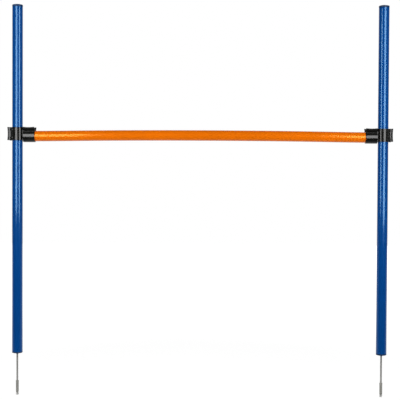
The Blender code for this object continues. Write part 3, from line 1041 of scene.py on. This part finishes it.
@dataclass
class Clip:
    """One moulded clip: a slotted ring round the post and another one round the bar."""

    side: Side
    bore: float = 0.0168
    wall: float = 0.0026
    rim: float = 0.0008
    post_ring_height: float = 0.041
    post_ring_rise: float = 0.0066
    bar_ring_length: float = 0.037
    slot: float = 0.0210
    reach: float = 0.0283
    bend: float = 0.0018
    entry: float = math.radians(20.0)
    curl: float = math.radians(46.0)
    curl_radius: float = 0.0230
    hollow: float = 0.0012
    end_wall: float = 0.0026
    neck_width: float = 0.017
    neck_margin: float = 0.0012
    gusset: float = 0.0024
    gusset_inset: float = 0.0085
    gusset_edge: float = 0.0006
    gusset_foot: float = math.radians(51.0)
    pin_mark: float = 0.0017
    pin_taper: float = 0.8
    pin_depth: float = 0.0007
    pin_clear: float = 0.0020
    pin_segments: int = 24
    pin_place: int = 2
    wall_segments: int = 64
    ring_steps: int = 60
    bend_steps: int = 9
    curl_steps: int = 6
    tip_steps: int = 8
    rim_steps: int = 3
    rim_margin: float = 1.8
    stations: int = 10

    @property
    def name(self) -> str:
        """The name of the finished piece."""
        return f"{self.side.word}_double_clip"

    @property
    def bottom(self) -> float:
        """The post ring's lower end, seen from the bar's axis."""
        return self.post_ring_rise - self.post_ring_height / 2

    @property
    def top(self) -> float:
        """The post ring's upper end, seen from the bar's axis."""
        return self.post_ring_rise + self.post_ring_height / 2

    @property
    def mid(self) -> float:
        """The radius of the rings at mid-wall."""
        return self.bore + self.wall / 2

    @property
    def outside(self) -> float:
        """The rings' outer radius."""
        return self.bore + self.wall

    @property
    def opening(self) -> float:
        """The angle from a slot's middle plane to where the ring turns into a lip."""
        half = self.slot / 2 + self.wall / 2 + self.bend
        return math.asin(half / (self.mid + self.bend))

    def lip(self, reach: float) -> Profile:
        """Draw one lip's mid-wall line, from the ring to the free edge.

        Args:
            reach: The free edge's distance from the tube's axis.

        Returns:
            Points (u, v), u out through the slot and v across it.
        """
        away = self.mid + self.bend
        centre = (away * math.cos(self.opening), away * math.sin(self.opening))
        start, end = math.pi + self.opening, 1.5 * math.pi + self.entry
        turn = arc(centre, self.bend, start, end, self.bend_steps)
        last_u, last_v = turn[-1]
        curl_reach = self.curl_radius * (math.sin(self.curl) - math.sin(self.entry))
        straight = reach - self.wall / 2 - curl_reach - last_u
        middle_u = last_u + straight - self.curl_radius * math.sin(self.entry)
        middle_v = last_v + straight * math.tan(self.entry)
        middle_v += self.curl_radius * math.cos(self.entry)
        start, end = self.entry - math.pi / 2, self.curl - math.pi / 2
        return turn + arc((middle_u, middle_v), self.curl_radius, start, end, self.curl_steps)

    def line(self, reach: float) -> list[Vector]:
        """Draw the whole ring's mid-wall line, from one free edge to the other.

        Args:
            reach: The free edges' distance from the tube's axis.

        Returns:
            The line's points.
        """
        end = 2 * math.pi - self.opening
        ring = arc((0.0, 0.0), self.mid, self.opening, end, self.ring_steps)
        upper = self.lip(reach)[:0:-1]
        lower = [(u, -v) for u, v in reversed(upper)]
        return [Vector(point) for point in upper + ring + lower]

    def outline(self, reach: float, half_wall: float) -> tuple[list[Vector], int]:
        """Draw the wall's closed outline.

        Args:
            reach: The free edges' distance from the tube's axis.
            half_wall: Half the wall's thickness.

        Returns:
            The outline's points, and how many of them are on each side of the wall.
        """
        points = self.line(reach)
        left: list[Vector] = []
        right: list[Vector] = []
        for index, point in enumerate(points):
            along = points[min(index + 1, len(points) - 1)] - points[max(index - 1, 0)]
            across = Vector((-along.y, along.x)).normalized() * half_wall
            left.append(point + across)
            right.append(point - across)
        first = self.tip(points[0], points[0] - points[1], half_wall)
        last = self.tip(points[-1], points[-1] - points[-2], half_wall)
        return left + last[::-1] + right[::-1] + first[::-1], len(left)

    def tip(self, centre: Vector, along: Vector, half_wall: float) -> list[Vector]:
        """Draw the half circle at a wall's free edge.

        Args:
            centre: The last point of the mid-wall line.
            along: The line's direction there, outwards.
            half_wall: Half the wall's thickness.

        Returns:
            The half circle's points, without the two on the wall's sides.
        """
        first = math.atan2(along.y, along.x) - math.pi / 2
        points = arc(centre, half_wall, first, first + math.pi, self.tip_steps)
        return [Vector(point) for point in points[1:-1]]

    def layers(self, length: float) -> list[Point]:
        """List the places along a ring at which its outline is drawn.

        Args:
            length: The ring's length along its axis.

        Returns:
            Each place, with what the rounded rims take off either side of the wall there.
        """
        rims = []
        for step in range(self.rim_steps):
            angle = math.pi / 2 * step / self.rim_steps
            rims.append((self.rim * (1 - math.cos(angle)), self.rim * (1 - math.sin(angle))))
        rims.append((self.rim, 0.0))
        start = self.rim * self.rim_margin
        inner = length - 2 * start
        middle = [(start + inner * step / self.stations, 0.0) for step in range(self.stations + 1)]
        return rims + middle + [(length - place, loss) for place, loss in reversed(rims)]

    def ring(self, length: float) -> bmesh.types.BMesh:
        """Loft one slotted ring along Z from zero, with its slot towards +X.

        Args:
            length: The ring's length along its axis.

        Returns:
            The closed solid.
        """
        bm = bmesh.new()
        loops = []
        side = 0
        for place, loss in self.layers(length):
            share = 2 * place / length - 1
            reach = self.reach - self.hollow * (1 - share**2)
            outline, side = self.outline(reach, self.wall / 2 - loss)
            loops.append([bm.verts.new((point.x, point.y, place)) for point in outline])
        for below, above in zip(loops, loops[1:]):
            for index in range(len(below)):
                after = (index + 1) % len(below)
                bm.faces.new((below[index], below[after], above[after], above[index]))
        for loop in (loops[0], loops[-1]):
            self.close_end(bm, loop, side)
        return bm

    def close_end(self, bm: bmesh.types.BMesh, loop: list[bmesh.types.BMVert], side: int) -> None:
        """Fill one end of a ring with quads across its wall and a fan at each lip.

        Args:
            bm: The ring.
            loop: The end's outline.
            side: The number of points on each side of the wall.
        """
        tips = self.tip_steps - 1
        left = loop[:side]
        right = loop[side + tips : 2 * side + tips][::-1]
        for index in range(side - 1):
            bm.faces.new((left[index], left[index + 1], right[index + 1], right[index]))
        bm.faces.new([left[-1]] + loop[side : side + tips] + [right[-1]])
        bm.faces.new([right[0]] + loop[2 * side + tips :] + [left[0]])

    def gusset_outline(self) -> Profile:
        """Draw the web that fills the valley between the post ring and a lip.

        Returns:
            The web's closed outline.
        """
        foot_radius = self.outside - self.gusset_edge
        foot = (foot_radius * math.cos(self.gusset_foot), foot_radius * math.sin(self.gusset_foot))
        under = arc((0.0, 0.0), self.mid, self.gusset_foot, self.opening, self.bend_steps)
        return [foot] + under + self.lip(self.reach - self.hollow)[1:-2]

    def mesh(self) -> bpy.types.Mesh:
        """Join the rings, webs, neck and end wall into one moulding, and set it on its post.

        Returns:
            The mesh, in the frame's coordinates.
        """
        half_turn = Matrix.Rotation(math.pi, 4, "Z")
        place = Matrix.Translation((0.0, 0.0, self.bottom)) @ half_turn
        post_ring = shift(self.ring(self.post_ring_height), place)
        body = new_object(self.name, to_mesh(post_ring, "double_clip"))
        self.join_webs(body)
        self.join_bar_ring(body)
        self.press_pin_marks(body)
        mesh = body.data
        bpy.data.objects.remove(body, do_unlink=True)
        turn = Matrix.Identity(4) if self.side is Side.LEFT else half_turn
        low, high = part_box(f"{self.side.word}_post_tube")
        bar_low, bar_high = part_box(f"{self.side.word}_bar_plug")
        centre = ((low.x + high.x) / 2, 0.0, (bar_low.z + bar_high.z) / 2)
        mesh.transform(Matrix.Translation(centre) @ turn)
        weld_joints(mesh)
        smooth(mesh)
        return mesh

    def join_webs(self, body: bpy.types.Object) -> None:
        """Add the four webs between the post ring and its lips.

        Args:
            body: The moulding.
        """
        for face in (-1, 1):
            for level in (self.bottom + self.gusset_inset, self.top - self.gusset_inset):
                web = [(-u, face * v) for u, v in self.gusset_outline()]
                solid = prism(web, level - self.gusset / 2, level + self.gusset / 2)
                combine(body, solid, Join.ADD)

    def join_bar_ring(self, body: bpy.types.Object) -> None:
        """Add the neck, the bar ring and the wall that stops the bar's end.

        Args:
            body: The moulding.
        """
        half_neck = self.neck_width / 2
        angle = math.asin(half_neck / self.mid)
        neck_end = self.outside + self.end_wall / 2
        neck = arc((0.0, 0.0), self.mid, angle, -angle, self.bend_steps)
        neck += [(neck_end, -half_neck), (neck_end, half_neck)]
        low, high = self.bottom + self.neck_margin, self.outside - self.neck_margin
        combine(body, prism(neck, low, high), Join.ADD)
        # The ring is drawn along Z and open towards +X: this lays it along X and open upwards.
        along_bar = Matrix(((0, 0, 1, 0), (0, 1, 0, 0), (1, 0, 0, 0), (0, 0, 0, 1)))
        to_bar = Matrix.Translation((self.outside, 0, 0)) @ along_bar
        combine(body, shift(self.ring(self.bar_ring_length), to_bar), Join.ADD)
        face = self.rim / 2
        profile = [(0.0, face), (self.mid, face), (self.mid, self.end_wall), (0.0, self.end_wall)]
        wall = lathe(profile, self.wall_segments, closed=False)
        combine(body, shift(wall, to_bar), Join.ADD)

    def press_pin_marks(self, body: bpy.types.Object) -> None:
        """Press the round marks into the outer corners of the post ring's lips.

        Args:
            body: The moulding.
        """
        lip = self.lip(self.reach)
        index = self.bend_steps + self.pin_place
        before, spot, after = (Vector(point) for point in lip[index - 1 : index + 2])
        along = (after - before).normalized()
        profile = [(0.0, -self.pin_depth), (self.pin_mark * self.pin_taper, -self.pin_depth)]
        profile += [(self.pin_mark, 0.0), (self.pin_mark, self.pin_clear), (0.0, self.pin_clear)]
        inset = self.gusset_inset / 2
        for face in (-1, 1):
            outward = Vector((along.y, face * along.x, 0.0))
            surface = Vector((-spot.x, face * spot.y, 0.0)) + outward * (self.wall / 2)
            turn = outward.to_track_quat("Z", "Y").to_matrix().to_4x4()
            for level in (self.bottom + inset, self.top - inset):
                place = Matrix.Translation((surface.x, surface.y, level)) @ turn
                tool = lathe(profile, self.pin_segments, closed=False)
                combine(body, shift(tool, place), Join.CUT)

    def build(self) -> None:
        """Build the clip and dress it."""
        node = f"{self.side.word}_clip"
        finish = MouldedPlastic(
            BLACK, roughness=0.19, gloss=0.27, grain=900.0, grain_depth=0.000005
        )
        material = finish.make(f"{self.side.word}_black")
        add_piece(self.name, self.mesh(), material, node, node)


@dataclass
class Crossbar:
    """The bowed orange tube and the plugs in its ends."""

    body: str = "bar"
    segments: int = 96
    stations: int = 72
    wall: float = 0.0018
    edge: float = 0.0005
    bow: float = 0.0040
    bow_power: int = 6
    low: Vector = field(init=False)
    high: Vector = field(init=False)
    free_half_length: float = field(init=False)

    def __post_init__(self) -> None:
        """Take the bar's place from the frame."""
        self.low, self.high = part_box("bar_tube")
        low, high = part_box("right_post_tube")
        clip = Clip(Side.RIGHT)
        self.free_half_length = (low.x + high.x) / 2 - (clip.outside + clip.bar_ring_length)

    @property
    def radius(self) -> float:
        """The tube's outer radius."""
        return (self.high.y - self.low.y) / 2

    def rise(self, x: float) -> float:
        """Give the bow's height at a place along the bar."""
        share = min(abs(x) / self.free_half_length, 1.0)
        return self.bow * (1 - share**2) * (1 - share**self.bow_power)

    def mesh(self) -> bpy.types.Mesh:
        """Turn the tube along X and give it its bow.

        Returns:
            The mesh, in the frame's coordinates.
        """
        inner = self.radius - self.wall
        half = (self.high.x - self.low.x) / 2
        corners = [(self.radius, 0.0, 0.0), (self.radius, half, self.edge)]
        corners += [(inner, half, self.edge), (inner, 0.0, 0.0)]
        end = rounded(corners)[1:-1]
        brace = half - self.edge - BRACE
        places = [-brace + 2 * brace * step / self.stations for step in range(self.stations + 1)]
        profile = [(self.radius, along) for along in places] + end
        profile += [(inner, along) for along in reversed(places)]
        profile += [(radius, -along) for radius, along in reversed(end)]
        bm = lathe(profile, self.segments, closed=True)
        shift(bm, Matrix.Rotation(math.pi / 2, 4, "Y"))
        plug_low, plug_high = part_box("left_bar_plug")
        axis_z = (plug_low.z + plug_high.z) / 2
        for vert in bm.verts:
            vert.co.z += axis_z + self.rise(vert.co.x)
        return to_mesh(bm, "crossbar")

    def build(self) -> None:
        """Build the bar and dress it and its plugs."""
        tube = ExtrudedPlastic(ORANGE, Lay.ALONG_X, ORANGE_SHINE, roughness=0.15)
        material = tube.make("bar_orange")
        add_piece("crossbar", self.mesh(), material, self.body, "bar_tube")
        plug = MouldedPlastic(PLUG_ORANGE, roughness=0.30).make("plug_orange")
        for side in Side:
            redress_node(f"{side.word}_bar_plug", plug)


@dataclass(frozen=True)
class Softbox:
    """A rectangular lamp that faces a point at its own height, brighter in gloss than on matt."""

    name: str
    place: Triple
    aim: Point
    width: float
    height: float
    radiance: float = 3.6
    sheen: float = 11.0
    face_gap: float = 0.02

    def add_lamp(self, name: str, radiance: float, ahead: float) -> bpy.types.Object:
        """Set one area lamp in the scene.

        Args:
            name: The lamp's name.
            radiance: How bright its face is, where 1 is white.
            ahead: How far it stands in front of the softbox's place.

        Returns:
            The lamp's object.
        """
        lamp = bpy.data.lights.new(name, "AREA")
        lamp.shape = "RECTANGLE"
        lamp.size = self.width
        lamp.size_y = self.height
        lamp.energy = radiance * math.pi * self.width * self.height
        obj = bpy.data.objects.new(name, lamp)
        bpy.context.scene.collection.objects.link(obj)
        across, away = self.aim[0] - self.place[0], self.aim[1] - self.place[1]
        forward = Vector((across, away, 0.0)).normalized()
        obj.location = Vector(self.place) + forward * ahead
        obj.rotation_euler = forward.to_track_quat("-Z", "Y").to_euler()
        obj.visible_camera = False
        return obj

    def build(self) -> None:
        """Set the lamp that lights matt faces and, just in front, the face that shows in gloss."""
        self.add_lamp(self.name, self.radiance, 0.0).visible_glossy = False
        self.add_lamp(self.name + "_face", self.sheen, self.face_gap).visible_diffuse = False
        LOG.info("%s set at %s", self.name, self.place)


@dataclass(frozen=True)
class Studio:
    """Floor, world, lamps and camera."""

    floor_reach: float = 7.0
    floor_thickness: float = 0.01
    floor_mottle: float = 0.02
    floor_mottle_rate: float = 3.0
    floor_colour: Colour = (0.93, 0.93, 0.93)
    floor_glow: float = 1.33
    floor_shade: float = 0.35
    shade_near: float = 0.9
    shade_far: float = 2.4
    ambient: float = 0.72
    ceiling_loss: float = 0.60
    room: float = 0.05
    backdrop_edge: float = 0.55
    backdrop_full: float = 0.85
    sweep_front: float = -0.8
    sweep_back: float = 0.5
    lens: float = 85.73
    film_width: float = 36.0
    nearest: float = 0.05
    farthest: float = 50.0
    camera_place: Triple = (0.031, -3.0, 0.685)
    pitch: float = math.radians(-1.24)
    yaw: float = math.radians(0.57)
    roll: float = math.radians(0.28)

    def build_floor(self) -> None:
        """Lay the pale floor, which shows white and keeps a faint shadow."""
        edge = self.floor_reach
        corners = [(-edge, -edge), (edge, -edge), (edge, edge), (-edge, edge)]
        slab = prism(corners, -self.floor_thickness, 0.0)
        floor = new_object("floor", to_mesh(slab, "floor"))
        material = bpy.data.materials.new("floor_pale")
        tree = NodeTree(material)
        tones = two_tones(self.floor_colour, (1 - self.floor_mottle, 1 + self.floor_mottle))
        mottled = tree.blend(tree.noise(self.floor_mottle_rate), *tones)
        matt = tree.add("BsdfDiffuse", None, {"Color": mottled})
        split = tree.add("SeparateXYZ", None, {0: tree.place()})
        sweep = Scalar(tree, split.outputs["Y"]).rise(self.sweep_front, self.sweep_back)
        in_gloss = Scalar(tree, tree.add("LightPath").outputs["Is Glossy Ray"])
        sheen = tree.blend(in_gloss, (1.0, 1.0, 1.0), sweep)
        brightness = self.seen(tree, 1.0, self.floor_glow)
        glow = tree.add("Emission", None, {"Color": sheen, "Strength": brightness})
        reach = tree.add("VectorMath", {"operation": "LENGTH"}, {0: tree.place((1.0, 1.0, 0.0))})
        near = 1 - Scalar(tree, reach.outputs["Value"]).rise(self.shade_near, self.shade_far)
        share = self.seen(tree, 1.0, 1 - near * self.floor_shade)
        mixed = tree.add("MixShader", None, {0: share, 1: matt.outputs[0], 2: glow.outputs[0]})
        tree.add("OutputMaterial", None, {"Surface": mixed.outputs[0]})
        dress(floor, material)

    def build_world(self) -> None:
        """Make the world: white to the camera, soft and grey for everything else."""
        world = bpy.data.worlds.new("studio")
        bpy.context.scene.world = world
        tree = NodeTree(world)
        split = tree.add("SeparateXYZ", None, {0: tree.add("TexCoord").outputs["Generated"]})
        backdrop = Scalar(tree, split.outputs["Y"]).rise(self.backdrop_edge, self.backdrop_full)
        room = backdrop * (1 - self.room) + self.room
        diffuse = 1 - self.seen(tree, 1.0, 1.0)
        overhead = Scalar(tree, split.outputs["Z"]).rise(0.0, 1.0)
        ambient = self.ambient - overhead * self.ceiling_loss
        strength = self.seen(tree, room, 1.0) + diffuse * ambient
        white = (1.0, 1.0, 1.0, 1.0)
        light = tree.add("Background", None, {"Color": white, "Strength": strength})
        tree.add("OutputWorld", None, {"Surface": light.outputs[0]})

    def seen(self, tree: NodeTree, in_gloss: Scalar | float, straight: Scalar | float) -> Scalar:
        """Tell how bright the background is for the ray that meets it.

        Args:
            tree: The node tree of the background.
            in_gloss: Its brightness in a reflection.
            straight: Its brightness to the camera and through the tip guards.

        Returns:
            The brightness for such rays, and 0 for light that falls on matt faces.
        """
        path = tree.add("LightPath")
        kinds = ("Is Camera Ray", "Is Transmission Ray", "Is Glossy Ray")
        camera, through, glossy = (Scalar(tree, path.outputs[kind]) for kind in kinds)
        return (camera.above(through) * straight).above(glossy * in_gloss)

    def build_lamps(self) -> None:
        """Set the two tall softboxes whose reflections run down the posts."""
        boxes = (
            Softbox(
                "left_softbox",
                place=(-0.811, -1.041, 1.024),
                aim=(-0.61, 0.0),
                width=0.625,
                height=0.958,
            ),
            Softbox(
                "right_softbox",
                place=(0.963, -1.117, 1.0705),
                aim=(0.226, 0.0),
                width=0.767,
                height=1.155,
            ),
        )
        for box in boxes:
            box.build()

    def build_camera(self) -> None:
        """Set the camera where the photo was taken from."""
        data = bpy.data.cameras.new("camera")
        data.lens = self.lens
        data.sensor_width = self.film_width
        data.clip_start = self.nearest
        data.clip_end = self.farthest
        obj = bpy.data.objects.new("camera", data)
        bpy.context.scene.collection.objects.link(obj)
        look = Matrix.Rotation(self.yaw, 3, "Z") @ Matrix.Rotation(math.pi / 2 + self.pitch, 3, "X")
        obj.rotation_euler = (look @ Matrix.Rotation(self.roll, 3, "Z")).to_euler()
        obj.location = self.camera_place
        bpy.context.scene.camera = obj

    def build(self) -> None:
        """Build the whole studio."""
        bpy.context.scene.view_settings.view_transform = "Standard"
        self.build_camera()
        self.build_floor()
        self.build_world()
        self.build_lamps()


def main() -> None:
    """Build the hurdle's pieces and the studio."""
    logging.basicConfig(level=logging.INFO, format="%(name)s: %(message)s")
    Studio().build()
    for side in Side:
        Post(side).build()
        Clip(side).build()
    Crossbar().build()


if __name__ == "__main__":
    main()
